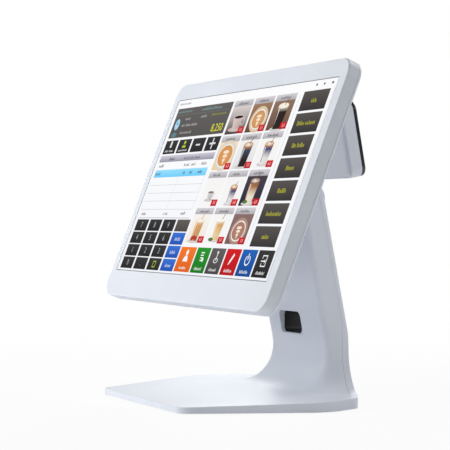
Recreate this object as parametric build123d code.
"""Countertop POS touchscreen terminal: stand, tilting touch head, rear customer display.

Millimetres. +Z is up, the front faces -Y, +X is the operator's right. The origin is on the
counter, under the middle of the terminal's bounding box. Rest pose: the head leans back 22 deg.
"""
from build123d import *
import math
import os

os.makedirs("parts", exist_ok=True)

# ---------------------------------------------------------------- driving dimensions
# head slab; local frame: x right, y up the screen, z out of the screen, 0 on the bezel face
HEAD_W, HEAD_H = 370.0, 241.4
HEAD_DROP = 4.6                 # slab centre below the screen centre
HEAD_CORNER_R = 17.0
BEZEL_DEPTH = 11.6              # side wall of the bezel
SLAB_DEPTH = 15.2               # bezel plus rear shell at the rim
WALL = 2.2
RIM_R = 3.2                     # rounding of the rear shell's rim
TILT = 22.0                     # rest lean of the head, degrees from upright
SCREEN_Y, SCREEN_Z = -18.0, 212.2
SCREEN_W, SCREEN_H = 344.2, 193.6   # 15.6 inch, 16:9 active area
GASKET = 0.9
GLASS_T = 1.8

# screws: shank radius, shank length, head radius, head height
BRACKET_SCREW = (2.05, 6.0, 3.6, 2.6)
BLOCK_SCREW = (1.5, 9.0, 2.8, 1.6)
BASE_SCREW = (1.55, 3.6, 2.7, 0.65)
SHELL_SCREW = (1.6, 3.4, 2.9, 1.2)
DISPLAY_SCREW = (1.6, 3.5, 2.8, 1.3)

# reach of the solids that only cut or clip others, and how near counts as touching
CUT, LONG_CUT, ALL, BEYOND = 20.0, 60.0, 400.0, 30.0
NEAR, TINY = 0.6, 0.01

# rear housing on the slab
HUMP_W, HUMP_H = 240.0, 190.0
HUMP_DEPTH = 36.0
HUMP_R = 22.0
HUMP_TAPER = 8.0

# tilt hinge
HINGE_Y, HINGE_Z = 56.0, 196.0
KNUCKLE_R, KNUCKLE_LAP = 14.0, 0.05
SHAFT_R = 4.0
SHAFT_CLEAR = 0.05
SHELL_SHAFT_GAP = 0.3
WASHER_GAP, WASHER_PITCH, WASHER_T = 0.05, 0.95, 0.85
NUT_R, NUT_T = 7.0, 4.5
NOTCH_HALF = 28.0
NOTCH_DROP = 15.0
BARREL_R = 9.0
ARM_HALF = 26.0
SHAFT_HALF = 52.0
BLOCK_R = 8.0
BLOCK_FROM, BLOCK_TO = 31.0, 46.0

# stand
NECK_HALF = 58.0
NECK_T = 2 * KNUCKLE_R
KNUCKLE_IN = 0.3                # the knuckle's ends lie just inside the neck's sides
NECK_LEAN = 0.196               # forward shift per unit of height
NECK_CORNER_R = 6.0
NECK_BULGE, NECK_BULGE_TOP = 7.0, 0.2   # crown of the rear face at its foot and its top
FOOT_FILLET = 38.0
BASE_FRONT, BASE_REAR = -102.0, 102.0
BASE_FRONT_HALF = 93.0
BASE_WIDE_HALF, BASE_WIDE_Y = 143.0, 24.0
BASE_REAR_R, BASE_REAR_HALF = 231.0, 127.0
BASE_CORNERS = (15.0, 42.0, 16.0)     # plan radii at the front, the widest place and the rear
BASE_T_FRONT, BASE_T_REAR = 6.4, 11.6
GROUND_GAP = 0.8                # the feet lift the base band off the counter
STAND_SKIN = 1.8
PORT_W, PORT_H, PORT_R = 44.0, 22.0, 5.0
PORT_X, PORT_Z = -8.0, 73.0
PORT_WALL = 1.6
PORT_STEP = 5.0                 # depth of the shell's own tunnel before the liner
SEAM = 0.25
SEAM_BACK = 8.0                 # parting line ahead of the neck's rear face
SEAM_IN, SEAM_DROP, SEAM_TOP = 1.0, 2.4, 240.0    # parting line in from the edge, under the top, and its end
WEIGHT_BOTTOM = 2.3
WEIGHT_GAP = 2.5
WEIGHT_PILOT_R, COVER_HOLE_R, BRACKET_HOLE_R = 1.55, 1.6, 2.2
COVER_T = 1.2
FOOT_R = 8.0
FEET = [(-72, -82), (72, -82), (-104, 40), (104, 40), (0, 84)]
BASE_SCREWS = [(-60, -60), (60, -60), (-98, 8), (98, 8), (-48, 76), (48, 76)]

# steel spine inside the neck
SPINE_HALF, SPINE_T = 42.0, 3.0
SPINE_Y, SPINE_DROP, SPINE_LONG = -1.0, 20.0, 190.0
BRACKET_Z = 9.7
FOOT_Y, FOOT_DEPTH = 77.0, 30.0
BRACKET_SCREWS = [(-30, 70), (30, 70), (-30, 80), (30, 80)]
BLOCK_SCREW_DROPS = (27.0, 37.0)
BLOCK_MID = (BLOCK_FROM + BLOCK_TO) / 2

# head internals, local levels out of the screen
LCD_W, LCD_H = 352.0, 208.0
LCD_FRONT, LCD_BACK = -2.4, -5.0
CHASSIS_FRONT, CHASSIS_BACK = -7.0, -8.2
BOARD_FRONT, BOARD_BACK = -14.0, -15.6
BOARD_W, BOARD_H, BOARD_X, BOARD_Y = 170.0, 78.0, -20.0, -50.0
PLATE_FRONT, PLATE_BACK = -31.4, -33.4
PLATE_W, PLATE_H = 124.0, 46.0
IO_Y = -91.0
HEATSINK_W, HEATSINK_L, HEATSINK_X = 64.0, 50.0, BOARD_X - 30.0
HEATSINK_BASE, HEATSINK_TOP = 2.1, 14.5     # levels behind the board
FIN_T, FIN_PITCH, FIN_COUNT, FIN_ROOT = 1.4, 5.6, 12, 5.6
CHIP_W, CHIP_H = 34.0, 2.0
MEMORY_X, MEMORY_W, MEMORY_L = 30.0, 46.0, 28.0
MEMORY_SLOT_W, MEMORY_SLOT_L, MEMORY_SLOT_T = 48.0, 5.0, 4.2
MEMORY_CHIP_W, MEMORY_CHIP_L, MEMORY_CHIP_PITCH = 11.0, 10.0, 15.0
DRIVE_X, DRIVE_Y, DRIVE_L, DRIVE_W, DRIVE_SOCKET = 35.0, BOARD_Y - 12.0, 60.0, 22.0, 5.0
DRIVE_CHIP_L, DRIVE_CHIP_W, DRIVE_CHIP_X = 20.0, 16.0, 44.0
CARD_T, CHIP_T = 0.9, 1.1
COIN_R, COIN_T, COIN_X, COIN_Y = 10.0, 4.4, BOARD_X + 14.0, BOARD_Y + 24.0
SPEAKER_X, SPEAKER_Y, SPEAKER_W, SPEAKER_H, SPEAKER_T = 89.0, 72.0, 34.0, 20.0, 8.0
CONE_IN, CONE_OUT, CONE_T = 3.5, 7.5, 3.0
TOUCH_W, TOUCH_H, TOUCH_T, TOUCH_CHIP = 60.0, 18.0, 1.2, 12.0
SOCKET_L, SOCKET_WALL, SOCKET_DEEP = 13.0, 1.0, 10.0
INLET_BORE_R, INLET_PIN_R, INLET_DEEP = 3.2, 1.1, 8.5
WINDOW_W, WINDOW_H, WINDOW_R = 36.0, 34.0, 5.0   # openings in the chassis sheet
WINDOWS = [(x, y) for x in (-140, 140) for y in (-60, 0, 60)]
LEG_R, LEG_HOLE_R = 4.5, 1.6
BUTTON_Y, BUTTON_Z = -84.0, -5.8
BUTTON_L, BUTTON_W = 14.0, 5.0
BUTTON_TRAVEL = 0.9

# customer display; local frame: x to its own right, y up, z out of its glass
DISP_W, DISP_H = 228.0, 71.6
DISP_Y, DISP_Z = 75.8, 251.8
DISP_LEAN = 10.4
DISP_GLASS_T = 4.2
DISP_CASE_T = 11.6
DISP_R = 9.0
DISP_RIM_R, DISP_BACK_R = 1.8, 1.5      # glass rim and case edge
DISP_WALL = 2.0
MODULE_W, MODULE_H, MODULE_T = 188.0, 44.0, 5.4
MODULE_WINDOW_W, MODULE_WINDOW_H, MODULE_LIP = 170.0, 34.0, 0.8
DRIVER_W, DRIVER_H, DRIVER_T = 196.0, 54.0, 1.4

MOUNT_HALF, MOUNT_WALL = 111.0, 2.0
DISP_SCREW_X = (-70, 70)

# hinge axis in the head's frame
LEAN_COS, LEAN_SIN = math.cos(math.radians(TILT)), math.sin(math.radians(TILT))
AXIS_Y = (HINGE_Y - SCREEN_Y) * LEAN_SIN + (HINGE_Z - SCREEN_Z) * LEAN_COS
AXIS_Z = -(HINGE_Y - SCREEN_Y) * LEAN_COS + (HINGE_Z - SCREEN_Z) * LEAN_SIN
COVER_HALF = 36.0
HUMP_Y = -2.0

# places in the head's frame
LEGS = [(x, AXIS_Y + dy) for x in (-52, 52) for dy in (-16, 16)]
STANDOFFS = [(BOARD_X + dx, BOARD_Y + dy) for dx in (-79, 79) for dy in (-33, 33)]
SHELL_SCREWS = [(x, y) for x in (-160, 160) for y in (-100, 92)]
IO_W, IO_DEPTH = 150.0, 16.0
USB = [(BOARD_X - 60, 14.0, 7.0), (BOARD_X - 40, 14.0, 7.0), (BOARD_X - 20, 14.0, 7.0)]
SERIAL = [(BOARD_X + 3, 17.0, 12.5), (BOARD_X + 24, 17.0, 12.5)]
NETWORK = [(BOARD_X + 45, 16.0, 13.0)]
INLET = (BOARD_X + 63, 9.0, 10.5)
SOCKETS = USB + SERIAL + NETWORK + [INLET]
VENT_ROWS, VENT_PITCH, VENT_X, VENT_Y = 7, 6.0, 44.0, -76.0
SPEAKER_SLOTS, SLOT_PITCH, SLOT_W, SLOT_LONG, SLOT_Z = 6, 5.0, 2.2, 9.0, -22.0
VENT_W, VENT_H, VENT_R = 46.0, 2.4, 1.1
VENT_DEEP = 8.0

HEAD = Plane(
    origin=(0, SCREEN_Y, SCREEN_Z),
    x_dir=(1, 0, 0),
    z_dir=(0, -math.cos(math.radians(TILT)), math.sin(math.radians(TILT))),
)
DISPLAY = Plane(
    origin=(0, DISP_Y, DISP_Z),
    x_dir=(-1, 0, 0),
    z_dir=(0, math.cos(math.radians(DISP_LEAN)), math.sin(math.radians(DISP_LEAN))),
)


# ---------------------------------------------------------------- helpers
def save(shape, node):
    """Write one named node."""
    export_step(shape, f"parts/{node}.step")


def slab(width, height, bottom, top, radius=0.0, x=0.0, y=0.0):
    """Plate in the current local frame, its corners rounded, between two levels."""
    outline = Rectangle(width, height)
    if radius > 0:
        outline = fillet(outline.vertices(), radius)
    return Pos(x, y, bottom) * extrude(outline, top - bottom)


def block(width, depth, height, x=0.0, y=0.0, z=0.0):
    """Box centred on x and y that stands on z."""
    return Pos(x, y, z + height / 2) * Box(width, depth, height)


def post(radius, bottom, top, x=0.0, y=0.0):
    """Round post along z."""
    return Pos(x, y, (bottom + top) / 2) * Cylinder(radius, top - bottom)


def axle(radius, x_from, x_to, y, z):
    """Cylinder along x."""
    return Pos((x_from + x_to) / 2, y, z) * Rot(0, 90, 0) * Cylinder(radius, abs(x_to - x_from))


def group(shapes):
    """Several separate solids kept in one node."""
    return Compound(children=[solid for shape in shapes for solid in shape.solids()])


def pan_screw(shank_r, length, head_r, head_h):
    """Screw with its seat at z 0, the head above and the shank below."""
    head = post(head_r, 0, head_h) - slab(head_r, 0.8, head_h - 0.6, head_h + 0.1)
    return head + post(shank_r, -length, 0)


# ---------------------------------------------------------------- stand
def base_top(y):
    """Height of the base's top face at a depth y."""
    return BASE_T_FRONT + (BASE_T_REAR - BASE_T_FRONT) * (y - BASE_FRONT) / (BASE_REAR - BASE_FRONT)


def neck_rear(z):
    """Depth of the neck's rear face, away from its crown, at a height z."""
    return HINGE_Y + KNUCKLE_R + NECK_LEAN * (HINGE_Z - z)


def base_outline(inset, rear_inset=None):
    """Plan of the base: straight front, sides that flare, a crowned rear."""
    rear_inset = inset if rear_inset is None else rear_inset
    front_half = BASE_FRONT_HALF - inset
    wide_half = BASE_WIDE_HALF - inset
    rear_r = BASE_REAR_R - rear_inset
    rear_half = BASE_REAR_HALF - rear_inset
    rear_y = BASE_REAR - rear_inset - rear_r + math.sqrt(rear_r**2 - rear_half**2)
    front_y = BASE_FRONT + inset
    right = [(front_half, front_y), (wide_half, BASE_WIDE_Y), (rear_half, rear_y)]
    left = [(-x, y) for x, y in right]
    face = make_face([
        Line(left[0], right[0]),
        Line(right[0], right[1]),
        Line(right[1], right[2]),
        ThreePointArc(right[2], (0, BASE_REAR - rear_inset), left[2]),
        Line(left[2], left[1]),
        Line(left[1], left[0]),
    ])
    for (x, y), radius in zip(right, BASE_CORNERS):
        corner = [v for v in face.vertices() if abs(abs(v.X) - x) < TINY and abs(v.Y - y) < TINY]
        face = fillet(corner, radius - inset)
    return face


def neck_section(height, inset, crown):
    """D-shaped level section of the neck, at its leaning place."""
    half = NECK_HALF - inset
    rear = neck_rear(height) - inset
    front = rear - (NECK_T - 2 * inset)
    face = make_face([
        Line((-half, front), (half, front)),
        Line((half, front), (half, rear)),
        ThreePointArc((half, rear), (0, rear + crown), (-half, rear)),
        Line((-half, rear), (-half, front)),
    ])
    return Pos(0, 0, height) * fillet(face.vertices(), NECK_CORNER_R - inset)


def wedge_under_top(drop, floor, front, rear, half):
    """Solid between a level floor and a plane parallel to the base's top, a drop below it."""
    side = Polygon(
        (front, floor), (rear, floor), (rear, base_top(rear) - drop), (front, base_top(front) - drop),
        align=None,
    )
    return extrude(Plane.YZ * side, half, both=True)


def stand_body(inset, floor):
    """Solid of the stand, its surface moved in by the inset, down to the given floor."""
    blank = wedge_under_top(inset, floor, BASE_FRONT - BEYOND, BASE_REAR + 3 * BEYOND, ALL / 2)
    low = neck_section(floor, inset, NECK_BULGE)
    neck = loft([low, neck_section(HINGE_Z, inset, NECK_BULGE_TOP)], ruled=True)
    body = blank + neck
    foot = [
        e for e in body.edges()
        if abs(e.center().X) < NECK_HALF + BEYOND and HINGE_Y < e.center().Y < BASE_REAR + BEYOND
        and abs(e.center().Z - base_top(e.center().Y) + inset) < NEAR
    ]
    body = fillet(foot, FOOT_FILLET + inset)
    plan = extrude(Pos(0, 0, floor) * base_outline(inset), HINGE_Z + KNUCKLE_R)
    half = NECK_HALF - inset - KNUCKLE_IN
    knuckle = axle(KNUCKLE_R + KNUCKLE_LAP - inset, -half, half, HINGE_Y, HINGE_Z)
    knuckle = fillet(knuckle.edges().filter_by(GeomType.CIRCLE), NECK_CORNER_R - 2 - inset)
    return (body & plan) + knuckle


def hinge_notch(grow):
    """Space in the top of the neck where the head's barrel turns."""
    bottom = HINGE_Z - NOTCH_DROP - grow
    return block(2 * (NOTCH_HALF + grow), LONG_CUT, LONG_CUT, y=HINGE_Y, z=bottom)


def port_bore(grow, y_from, y_to):
    """Rounded cable opening through the neck, along y."""
    outline = fillet(Rectangle(PORT_W + 2 * grow, PORT_H + 2 * grow).vertices(), PORT_R + grow)
    frame = Plane(origin=(PORT_X, y_from, PORT_Z), x_dir=(1, 0, 0), z_dir=(0, 1, 0))
    return extrude(frame * outline, y_to - y_from)


def front_region(gap):
    """Everything on the operator's side of the stand's parting surface."""
    plan = extrude(base_outline(SEAM_IN - gap, rear_inset=SEAM_BACK - SEAM_IN - gap), ALL)
    back = [(neck_rear(z) - SEAM_BACK + gap, z) for z in (-1.0, SEAM_TOP)]
    side = Polygon(
        (BASE_FRONT - BEYOND, base_top(BASE_FRONT - BEYOND) - SEAM_DROP - gap),
        (back[0][0], base_top(back[0][0]) - SEAM_DROP - gap),
        back[1],
        (BASE_FRONT - BEYOND, SEAM_TOP),
        align=None,
    )
    return plan & extrude(Plane.YZ * side, ALL, both=True)


def stand_shells():
    """The stand's two plastic shells, split along the parting surface."""
    outer = stand_body(0, GROUND_GAP)
    inner = stand_body(STAND_SKIN, GROUND_GAP - 1) - hinge_notch(STAND_SKIN)
    shell = outer - inner - hinge_notch(0)
    shell -= axle(SHAFT_R + SHELL_SHAFT_GAP, -BLOCK_FROM, BLOCK_FROM, HINGE_Y, HINGE_Z)
    front_face = neck_rear(PORT_Z) - NECK_T
    tunnel = port_bore(PORT_WALL, front_face + 1, front_face + PORT_STEP)
    shell = shell + tunnel - port_bore(0, front_face - CUT, front_face + LONG_CUT)
    region = front_region(0)
    return shell & region, shell - front_region(SEAM)


def port_liner():
    """Black rubber sleeve through the neck, behind the shell's own tunnel."""
    start = neck_rear(PORT_Z) - NECK_T + PORT_STEP + 0.1
    end = neck_rear(PORT_Z) - STAND_SKIN - 1.2
    return port_bore(PORT_WALL, start, end) - port_bore(-0.6, start - 1, end + 1)


def base_weight():
    """Cast plate that fills the base and keeps the terminal from tipping."""
    plan = extrude(Pos(0, 0, WEIGHT_BOTTOM) * base_outline(STAND_SKIN + WEIGHT_GAP), CUT)
    body = plan & wedge_under_top(STAND_SKIN + 0.5, WEIGHT_BOTTOM, BASE_FRONT - 5, BASE_REAR + 5, 200)
    for x, y in BASE_SCREWS:
        body -= post(WEIGHT_PILOT_R, 0, CUT, x, y)
    for x, y in BRACKET_SCREWS:
        body -= post(BRACKET_SCREW[0], 0, CUT, x, y)
    return body


def base_cover():
    """Flat plate that closes the base, with seats for the feet."""
    body = extrude(Pos(0, 0, GROUND_GAP) * base_outline(STAND_SKIN + 0.3), COVER_T)
    for x, y in FEET:
        body -= post(FOOT_R + 0.1, 0, GROUND_GAP + 0.6, x, y)
    for x, y in BASE_SCREWS:
        body -= post(COVER_HOLE_R, 0, CUT, x, y)
    return body


def rubber_feet():
    """Self-adhesive pads in their seats."""
    pads = []
    for x, y in FEET:
        pad = post(FOOT_R, 0, GROUND_GAP + 0.6, x, y)
        rim = pad.edges().sort_by(Axis.Z)[0]
        pads.append(chamfer(rim, 0.35))
    return group(pads)


def neck_frame():
    """Leaning frame on the hinge axis: z up the neck, y towards the rear."""
    lean = math.atan(NECK_LEAN)
    return Plane(
        origin=(0, HINGE_Y, HINGE_Z), x_dir=(1, 0, 0), z_dir=(0, -math.sin(lean), math.cos(lean))
    )


def neck_bracket():
    """Folded steel spine: a foot bolted to the weight and a web up the neck."""
    web = neck_frame() * block(2 * SPINE_HALF, SPINE_T, SPINE_LONG, y=SPINE_Y, z=-SPINE_DROP - SPINE_LONG)
    web = web & block(ALL, ALL, ALL, z=BRACKET_Z)
    foot = block(2 * SPINE_HALF, FOOT_DEPTH, SPINE_T, y=FOOT_Y, z=BRACKET_Z)
    body = web + foot - port_bore(PORT_WALL + 3, 0, 140)
    for x, y in BRACKET_SCREWS:
        body -= post(BRACKET_HOLE_R, 0, LONG_CUT, x, y)
    for side in (-1, 1):
        for drop in BLOCK_SCREW_DROPS:
            body -= neck_frame() * Pos(side * BLOCK_MID, SPINE_Y, -drop) * Rot(90, 0, 0) * Cylinder(1.6, 20)
    return body


def hinge_blocks():
    """Two steel blocks that hold the shaft and bolt to the spine."""
    blocks = []
    frame = neck_frame()
    width = BLOCK_TO - BLOCK_FROM
    seat = SPINE_Y - SPINE_T / 2
    for side in (-1, 1):
        x = side * BLOCK_MID
        barrel = axle(BLOCK_R, x - width / 2, x + width / 2, HINGE_Y, HINGE_Z)
        tail = frame * block(width, BLOCK_R + seat, 44, x=x, y=(seat - BLOCK_R) / 2, z=-44)
        body = barrel + tail - axle(SHAFT_R, x - width, x + width, HINGE_Y, HINGE_Z)
        for drop in BLOCK_SCREW_DROPS:
            body -= frame * Pos(x, 0, -drop) * Rot(90, 0, 0) * Cylinder(1.5, 30)
        blocks.append(body)
    return group(blocks)


def hinge_shaft():
    """Steel shaft across the neck, with chamfered ends."""
    body = axle(SHAFT_R, -SHAFT_HALF, SHAFT_HALF, HINGE_Y, HINGE_Z)
    ends = body.edges().filter_by(GeomType.CIRCLE)
    return chamfer(ends, 0.5)


def friction_washers():
    """Spring washers that press on the head's barrel."""
    washers = []
    for side in (-1, 1):
        for near in (ARM_HALF + WASHER_GAP, ARM_HALF + WASHER_PITCH):
            disc = axle(BARREL_R - 1, side * near, side * (near + WASHER_T), HINGE_Y, HINGE_Z)
            washers.append(disc - axle(SHAFT_R, -LONG_CUT, LONG_CUT, HINGE_Y, HINGE_Z))
    return group(washers)


def shaft_nuts():
    """Locknuts on the shaft ends."""
    nuts = []
    for side in (-1, 1):
        frame = Plane(origin=(side * BLOCK_TO, HINGE_Y, HINGE_Z), z_dir=(side, 0, 0))
        nut = frame * extrude(RegularPolygon(NUT_R, 6), NUT_T)
        nuts.append(nut - axle(SHAFT_R, -LONG_CUT, LONG_CUT, HINGE_Y, HINGE_Z))
    return group(nuts)


def bracket_screws():
    """Screws from the spine's foot into the weight."""
    screw = pan_screw(*BRACKET_SCREW)
    return group([Pos(x, y, BRACKET_Z + SPINE_T) * screw for x, y in BRACKET_SCREWS])


def hinge_block_screws():
    """Screws through the spine into the hinge blocks."""
    screw = pan_screw(*BLOCK_SCREW)
    frame = neck_frame()
    seat = SPINE_Y + SPINE_T / 2
    return group([
        frame * Pos(side * BLOCK_MID, seat, -drop) * Rot(-90, 0, 0) * screw
        for side in (-1, 1) for drop in BLOCK_SCREW_DROPS
    ])


def base_screws():
    """Screws from below through the base cover into the weight."""
    screw = Rot(180, 0, 0) * pan_screw(*BASE_SCREW)
    return group([Pos(x, y, GROUND_GAP) * screw for x, y in BASE_SCREWS])


# ---------------------------------------------------------------- head
def bezel():
    """Front frame of the head with its side wall."""
    body = slab(HEAD_W, HEAD_H, -BEZEL_DEPTH, 0, HEAD_CORNER_R, y=-HEAD_DROP)
    front = body.edges().filter_by(lambda e: abs(e.center().Z) < TINY)
    body = fillet(front, 1.3)
    inner = slab(HEAD_W - 2 * WALL, HEAD_H - 2 * WALL, -20, -WALL, HEAD_CORNER_R - WALL, y=-HEAD_DROP)
    window = slab(SCREEN_W + 2 * GASKET, SCREEN_H + 2 * GASKET, -20, 1, 1.6)
    hole = Pos(-HEAD_W / 2, BUTTON_Y, BUTTON_Z) * button_prism(0.25, 10, -5)
    return body - inner - window - hole


def button_prism(grow, length, start):
    """Rounded bar along x for the power button and its hole."""
    outline = Rectangle(BUTTON_L + 2 * grow, BUTTON_W + 2 * grow)
    outline = fillet(outline.vertices(), BUTTON_W / 2 + grow - 0.1)
    frame = Plane(origin=(start, 0, 0), x_dir=(0, 1, 0), z_dir=(1, 0, 0))
    return extrude(frame * outline, length)


def power_button():
    """Cap that shows in the left side wall, its flange and its plunger."""
    cap = button_prism(0, WALL + 0.75, -0.6)
    flange = Pos(WALL + 0.1, 0, 0) * block(1.0, BUTTON_L + 3, BUTTON_W + 1.6, x=0.5, z=-(BUTTON_W + 1.6) / 2)
    plunger = Pos(WALL + 1.5, 0, 0) * Rot(0, 90, 0) * Cylinder(1.2, 1.2)
    return Pos(-HEAD_W / 2, BUTTON_Y, BUTTON_Z) * (cap + flange + plunger)


def power_switch():
    """Small tact switch on its board behind the button."""
    near = WALL + 2.1 + BUTTON_TRAVEL + 0.1
    body = block(1.6, 6, 4.6, x=near + 0.8, z=-2.3) + block(0.9, 16, 5.6, x=near + 2.05, z=-2.8)
    return Pos(-HEAD_W / 2, BUTTON_Y, BUTTON_Z) * body


def screen_gasket():
    """Grey foam frame between the bezel window and the glass."""
    outer = slab(SCREEN_W + 2 * GASKET - 0.1, SCREEN_H + 2 * GASKET - 0.1, -GLASS_T - 0.2, -0.35, 1.5)
    return outer - slab(SCREEN_W + 0.1, SCREEN_H + 0.1, -5, 1, 0.9)


def touch_glass():
    """Touch sensor glass, flush in the bezel."""
    return slab(SCREEN_W, SCREEN_H, -GLASS_T - 0.2, -0.2, 0.8)


def lcd_back_plate():
    """Thin metal tray behind the panel."""
    tray = slab(LCD_W + 2.4, LCD_H + 2.4, LCD_BACK - 1.2, LCD_FRONT - 0.3, 2)
    return tray - slab(LCD_W + 0.4, LCD_H + 0.4, LCD_BACK - 0.1, 0, 1)


def head_chassis():
    """Steel sheet that carries the panel, the board and the hinge."""
    plate = slab(LCD_W, LCD_H + 6, CHASSIS_BACK, CHASSIS_FRONT, WINDOW_R)
    for x, y in WINDOWS:
        plate -= slab(WINDOW_W, WINDOW_H, CHASSIS_BACK - 1, 0, WINDOW_R, x=x, y=y)
    for x, y in LEGS:
        plate -= post(LEG_HOLE_R, CHASSIS_BACK - 1, 0, x, y)
    return plate


def mainboard():
    """Circuit board with its mounting holes."""
    board = slab(BOARD_W, BOARD_H, BOARD_BACK, BOARD_FRONT, 1.5, x=BOARD_X, y=BOARD_Y)
    for x, y in STANDOFFS:
        board -= post(LEG_HOLE_R, BOARD_BACK - 1, 0, x, y)
    return board


def behind_board(width, height, near, far, x, y):
    """Flat part behind the mainboard, between two distances from it."""
    return slab(width, height, BOARD_BACK - far, BOARD_BACK - near, 0, x=x, y=y)


def processor():
    """Processor package under the heatsink."""
    return behind_board(CHIP_W, CHIP_W, 0, CHIP_H, HEATSINK_X, BOARD_Y)


def heatsink():
    """Finned aluminium block on the processor."""
    body = behind_board(HEATSINK_W, HEATSINK_L, HEATSINK_BASE, FIN_ROOT, HEATSINK_X, BOARD_Y)
    for step in range(FIN_COUNT):
        x = HEATSINK_X + (step - (FIN_COUNT - 1) / 2) * FIN_PITCH
        body += behind_board(FIN_T, HEATSINK_L, FIN_ROOT, HEATSINK_TOP, x, BOARD_Y)
    return body


def memory_module():
    """Memory card flat above its slot."""
    card_y = BOARD_Y + MEMORY_L / 2 + 3
    slot_y = card_y + (MEMORY_L + MEMORY_SLOT_L) / 2 - 0.5
    card_far = MEMORY_SLOT_T - CARD_T
    body = behind_board(MEMORY_SLOT_W, MEMORY_SLOT_L, 0, MEMORY_SLOT_T, MEMORY_X, slot_y)
    body += behind_board(MEMORY_W, MEMORY_L, card_far - CARD_T, card_far, MEMORY_X, card_y)
    for step in (-1, 0, 1):
        x = MEMORY_X + step * MEMORY_CHIP_PITCH
        body += behind_board(MEMORY_CHIP_W, MEMORY_CHIP_L, card_far, card_far + CHIP_T, x, card_y)
    return body


def storage_drive():
    """Solid-state drive flat in its socket."""
    card_far = MEMORY_SLOT_T - CARD_T
    socket_x = DRIVE_X - DRIVE_L / 2
    body = behind_board(DRIVE_L, DRIVE_W, card_far - CARD_T, card_far, DRIVE_X, DRIVE_Y)
    body += behind_board(DRIVE_SOCKET, DRIVE_W + 1, 0, MEMORY_SLOT_T, socket_x, DRIVE_Y)
    body += behind_board(DRIVE_CHIP_L, DRIVE_CHIP_W, card_far, card_far + CHIP_T, DRIVE_CHIP_X, DRIVE_Y)
    return body


def coin_cell():
    """Clock battery in its place on the board."""
    return post(COIN_R, BOARD_BACK - COIN_T, BOARD_BACK, COIN_X, COIN_Y)


def speakers():
    """Pair of flat speakers on the chassis."""
    units = []
    for x in (-SPEAKER_X, SPEAKER_X):
        box = slab(SPEAKER_W, SPEAKER_H, CHASSIS_BACK - SPEAKER_T, CHASSIS_BACK, 3, x=x, y=SPEAKER_Y)
        cone = Pos(x, SPEAKER_Y, CHASSIS_BACK - SPEAKER_T) * Cone(CONE_IN, CONE_OUT, CONE_T)
        units.append(box - cone)
    return group(units)


def touch_controller():
    """Small board that reads the touch glass."""
    top = CHASSIS_BACK - 2 * TOUCH_T
    body = slab(TOUCH_W, TOUCH_H, top - TOUCH_T, top, 1, y=SPEAKER_Y)
    body += slab(TOUCH_CHIP, TOUCH_CHIP, top - 2 * TOUCH_T, top - TOUCH_T, 0, y=SPEAKER_Y)
    for side in (-1, 1):
        body += post(2, top, CHASSIS_BACK, side * (TOUCH_W / 2 - 5), SPEAKER_Y)
    return body


def hump_solid(inset):
    """Tapered rear housing of the head."""
    outline = fillet(Rectangle(HUMP_W - 2 * inset, HUMP_H - 2 * inset).vertices(), HUMP_R - inset)
    depth = HUMP_DEPTH - inset - SLAB_DEPTH + 6
    frame = Plane(origin=(0, HUMP_Y, 6 - SLAB_DEPTH), x_dir=(1, 0, 0), z_dir=(0, 0, -1))
    return extrude(frame * outline, depth, taper=HUMP_TAPER)


def rear_shell():
    """Rear casing: a shallow tray that grows into the housing for the electronics."""
    tray = slab(HEAD_W, HEAD_H, -SLAB_DEPTH, -BEZEL_DEPTH - SEAM, HEAD_CORNER_R, y=-HEAD_DROP)
    rim = tray.edges().filter_by(lambda e: abs(e.center().Z + SLAB_DEPTH) < TINY)
    tray = fillet(rim, RIM_R)
    hump = hump_solid(0) & block(ALL, ALL, LONG_CUT, z=-LONG_CUT - BEZEL_DEPTH - SEAM)
    far = [e for e in hump.edges() if abs(e.center().Z + HUMP_DEPTH) < TINY]
    hump = fillet(far, 5.0)
    inner_tray = slab(
        HEAD_W - 2 * WALL, HEAD_H - 2 * WALL, -SLAB_DEPTH + 1.4, 0, HEAD_CORNER_R - WALL, y=-HEAD_DROP
    )
    body = tray + hump - inner_tray - hump_solid(WALL)
    body -= slab(2 * ARM_HALF + 2, 20, -60, -HUMP_DEPTH + 10, 2, y=AXIS_Y)
    for x, y in SHELL_SCREWS:
        body -= post(SHELL_SCREW[0], -LONG_CUT, 0, x, y)
    body -= block(IO_W + 1, 22, IO_DEPTH + 1, x=BOARD_X, y=IO_Y - 11, z=BOARD_FRONT - IO_DEPTH - 0.5)
    for row in range(VENT_ROWS):
        for side in (-1, 1):
            y = VENT_Y + VENT_PITCH * row
            body -= slab(VENT_W, VENT_H, -LONG_CUT, VENT_DEEP - HUMP_DEPTH, VENT_R, x=side * VENT_X, y=y)
    for column in range(SPEAKER_SLOTS):
        for side in (-1, 1):
            x = side * SPEAKER_X + (column - (SPEAKER_SLOTS - 1) / 2) * SLOT_PITCH
            body -= Pos(x, HUMP_Y + HUMP_H / 2, SLOT_Z) * Box(SLOT_W, 24, SLOT_LONG)
    return body


def io_plate():
    """Metal plate with the cut-outs for the sockets."""
    y = IO_Y + 1.2
    plate = block(IO_W - 0.6, 1.0, IO_DEPTH - 0.6, x=BOARD_X, y=y, z=BOARD_FRONT - IO_DEPTH + 0.3)
    for x, width, height in SOCKETS:
        plate -= block(width + 0.4, 6, height + 0.4, x=x, y=y, z=BOARD_BACK - height - 0.2)
    return plate


def socket_body(x, width, height):
    """Closed connector body behind the io plate; its mouth is 1.5 mm below the plate's line."""
    return block(width, SOCKET_L, height, x=x, y=IO_Y - 1.5 + SOCKET_L / 2, z=BOARD_BACK - height)


def sockets(kinds):
    """Connector bodies on the board's lower edge, open downwards."""
    bodies = []
    for x, width, height in kinds:
        hollow = block(
            width - 2 * SOCKET_WALL, 2 * SOCKET_DEEP, height - 2 * SOCKET_WALL,
            x=x, y=IO_Y - 1.5, z=BOARD_BACK - height + SOCKET_WALL,
        )
        bodies.append(socket_body(x, width, height) - hollow)
    return group(bodies)


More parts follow.
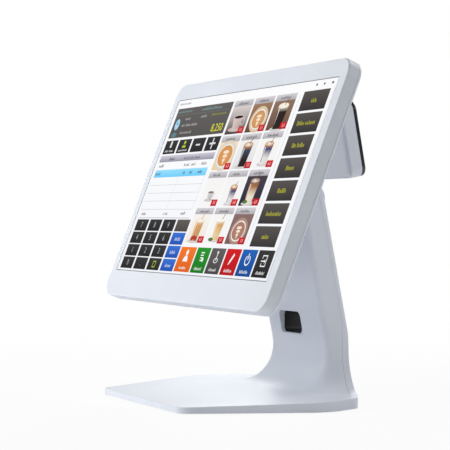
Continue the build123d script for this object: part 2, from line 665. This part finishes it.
def power_inlet():
    """Round low-voltage inlet with its centre pin."""
    x, width, height = INLET
    frame = Plane(origin=(x, IO_Y - 2.5, BOARD_BACK - height / 2), x_dir=(1, 0, 0), z_dir=(0, 1, 0))
    ring = extrude(frame * (Circle(INLET_BORE_R) - Circle(INLET_PIN_R)), INLET_DEEP + 1)
    return socket_body(x, width, height) - ring


def standoffs():
    """Hexagonal posts between the chassis and the mainboard."""
    bar = Pos(0, 0, BOARD_FRONT) * extrude(RegularPolygon(3.2, 6), CHASSIS_BACK - BOARD_FRONT)
    return group([Pos(x, y, 0) * bar for x, y in STANDOFFS])


def board_screws():
    """Screws that hold the board on its standoffs."""
    screw = Rot(180, 0, 0) * pan_screw(1.4, BOARD_FRONT - BOARD_BACK, 2.7, 1.6)
    return group([Pos(x, y, BOARD_BACK) * screw for x, y in STANDOFFS])


def hinge_bracket():
    """Welded steel bracket: plate, four legs to the chassis, arm and barrel."""
    body = slab(PLATE_W, PLATE_H, PLATE_BACK, PLATE_FRONT, 4, y=AXIS_Y)
    for x, y in LEGS:
        body += post(LEG_R, PLATE_FRONT, CHASSIS_BACK, x, y)
    body += slab(2 * ARM_HALF, 13, AXIS_Z, PLATE_BACK, 0, y=AXIS_Y)
    body += axle(BARREL_R, -ARM_HALF, ARM_HALF, AXIS_Y, AXIS_Z)
    return body - axle(SHAFT_R + SHAFT_CLEAR, -LONG_CUT, LONG_CUT, AXIS_Y, AXIS_Z)


def chassis_screws():
    """Screws through the chassis into the bracket's legs."""
    screw = pan_screw(1.5, CHASSIS_FRONT - CHASSIS_BACK, 2.6, 0.6)
    return group([Pos(x, y, CHASSIS_FRONT) * screw for x, y in LEGS])


def hinge_cover():
    """Plastic shroud round the hinge arm."""
    front = -HUMP_DEPTH - 0.1
    back = AXIS_Z + KNUCKLE_R + 2.0
    outer = slab(COVER_HALF * 2, 21, back, front, 4, y=AXIS_Y)
    edges = outer.edges().filter_by(lambda e: abs(e.center().Z - back) < TINY)
    outer = fillet(edges, 2.0)
    return outer - slab(2 * ARM_HALF + 0.6, 13.6, back - 5, front + 5, 1, y=AXIS_Y)


def shell_screws():
    """Screws that hold the rear shell, in its corners."""
    screw = Rot(180, 0, 0) * pan_screw(*SHELL_SCREW)
    return group([Pos(x, y, -SLAB_DEPTH) * screw for x, y in SHELL_SCREWS])


# ---------------------------------------------------------------- customer display
def display_glass():
    """Black front glass with rounded rim."""
    body = slab(DISP_W, DISP_H, -DISP_GLASS_T, 0, DISP_R)
    rim = body.edges().filter_by(lambda e: abs(e.center().Z) < TINY)
    return fillet(rim, DISP_RIM_R)


def display_case():
    """Shallow case behind the glass, open to the front."""
    back = -DISP_GLASS_T - DISP_CASE_T
    body = slab(DISP_W, DISP_H, back, -DISP_GLASS_T - 0.1, DISP_R)
    rim = body.edges().filter_by(lambda e: abs(e.center().Z - back) < TINY)
    body = fillet(rim, DISP_BACK_R)
    inner_r = DISP_R - DISP_WALL
    body -= slab(DISP_W - 2 * DISP_WALL, DISP_H - 2 * DISP_WALL, back + DISP_WALL, 1, inner_r)
    for x in DISP_SCREW_X:
        body -= Pos(x, 0, back) * Cylinder(1.6, 10)
    return body


def display_module():
    """Two-line character module behind the glass."""
    front = -DISP_GLASS_T - 0.4
    frame = slab(MODULE_W, MODULE_H, front - MODULE_T, front, 2)
    return frame - slab(MODULE_WINDOW_W, MODULE_WINDOW_H, front - MODULE_LIP, 0, 1)


def display_board():
    """Driver board of the character module."""
    top = -DISP_GLASS_T - 0.5 - MODULE_T
    board = slab(DRIVER_W, DRIVER_H, top - DRIVER_T, top, 2)
    for x in DISP_SCREW_X:
        board -= Pos(x, 0, top) * Cylinder(4, 10)
    return board


def display_screws():
    """Screws from the mount into the case."""
    back = -DISP_GLASS_T - DISP_CASE_T
    screw = Rot(180, 0, 0) * pan_screw(*DISPLAY_SCREW)
    return group([DISPLAY * Pos(x, 0, back - MOUNT_WALL - 0.1) * screw for x in DISP_SCREW_X])


def head_point(y, z):
    """World depth and height of a point in the head's frame."""
    lean = math.radians(TILT)
    return (
        SCREEN_Y + y * math.sin(lean) - z * math.cos(lean),
        SCREEN_Z + y * math.cos(lean) + z * math.sin(lean),
    )


def display_point(y, z):
    """World depth and height of a point in the customer display's frame."""
    lean = math.radians(DISP_LEAN)
    return (
        DISP_Y - y * math.sin(lean) + z * math.cos(lean),
        DISP_Z + y * math.cos(lean) + z * math.sin(lean),
    )


def mount_profile():
    """Corners of the wedge between the rear housing and the display case."""
    back = -DISP_GLASS_T - DISP_CASE_T - 0.1
    front = -HUMP_DEPTH - 0.1
    return [head_point(15, front), display_point(-34.5, back), display_point(29, back), head_point(86, front)]


def display_mount():
    """Hollow wedge that carries the display on the rear housing."""
    outline = make_face(Polyline(*[(y, z) for y, z in mount_profile()], close=True))
    outer = extrude(Plane.YZ * outline, MOUNT_HALF, both=True)
    inner = extrude(Plane.YZ * offset(outline, -MOUNT_WALL), MOUNT_HALF - MOUNT_WALL, both=True)
    body = outer - inner
    body -= HEAD * slab(2 * COVER_HALF + 3, 26, AXIS_Z, 0, 4, y=AXIS_Y)
    for x in DISP_SCREW_X:
        body -= DISPLAY * Pos(x, 0, -DISP_GLASS_T - DISP_CASE_T) * Cylinder(1.7, 8)
    return body


def build():
    """Every piece of the terminal, by node name."""
    front_shell, rear_cover = stand_shells()
    stand = {
        "stand_front_shell": front_shell,
        "stand_rear_cover": rear_cover,
        "port_liner": port_liner(),
        "base_weight": base_weight(),
        "base_cover": base_cover(),
        "rubber_feet": rubber_feet(),
        "base_screws": base_screws(),
        "neck_bracket": neck_bracket(),
        "bracket_screws": bracket_screws(),
        "hinge_blocks": hinge_blocks(),
        "hinge_block_screws": hinge_block_screws(),
        "hinge_shaft": hinge_shaft(),
        "friction_washers": friction_washers(),
        "shaft_nuts": shaft_nuts(),
    }
    head = {
        "front_bezel": bezel(),
        "screen_gasket": screen_gasket(),
        "touch_glass": touch_glass(),
        "lcd_panel": slab(LCD_W, LCD_H, LCD_BACK, LCD_FRONT, 1),
        "lcd_back_plate": lcd_back_plate(),
        "head_chassis": head_chassis(),
        "mainboard": mainboard(),
        "processor": processor(),
        "heatsink": heatsink(),
        "memory_module": memory_module(),
        "storage_drive": storage_drive(),
        "coin_cell": coin_cell(),
        "standoffs": standoffs(),
        "board_screws": board_screws(),
        "speakers": speakers(),
        "touch_controller": touch_controller(),
        "power_switch": power_switch(),
        "power_button": power_button(),
        "rear_shell": rear_shell(),
        "shell_screws": shell_screws(),
        "io_plate": io_plate(),
        "usb_sockets": sockets(USB),
        "serial_sockets": sockets(SERIAL),
        "network_socket": sockets(NETWORK),
        "power_inlet": power_inlet(),
        "hinge_bracket": hinge_bracket(),
        "chassis_screws": chassis_screws(),
        "hinge_cover": hinge_cover(),
    }
    display = {
        "display_case": display_case(),
        "display_glass": display_glass(),
        "display_module": display_module(),
        "display_board": display_board(),
    }
    pieces = dict(stand)
    pieces.update({name: HEAD * shape for name, shape in head.items()})
    pieces.update({name: DISPLAY * shape for name, shape in display.items()})
    pieces["display_mount"] = display_mount()
    pieces["display_screws"] = display_screws()
    return pieces


for name, piece in build().items():
    save(piece, name)
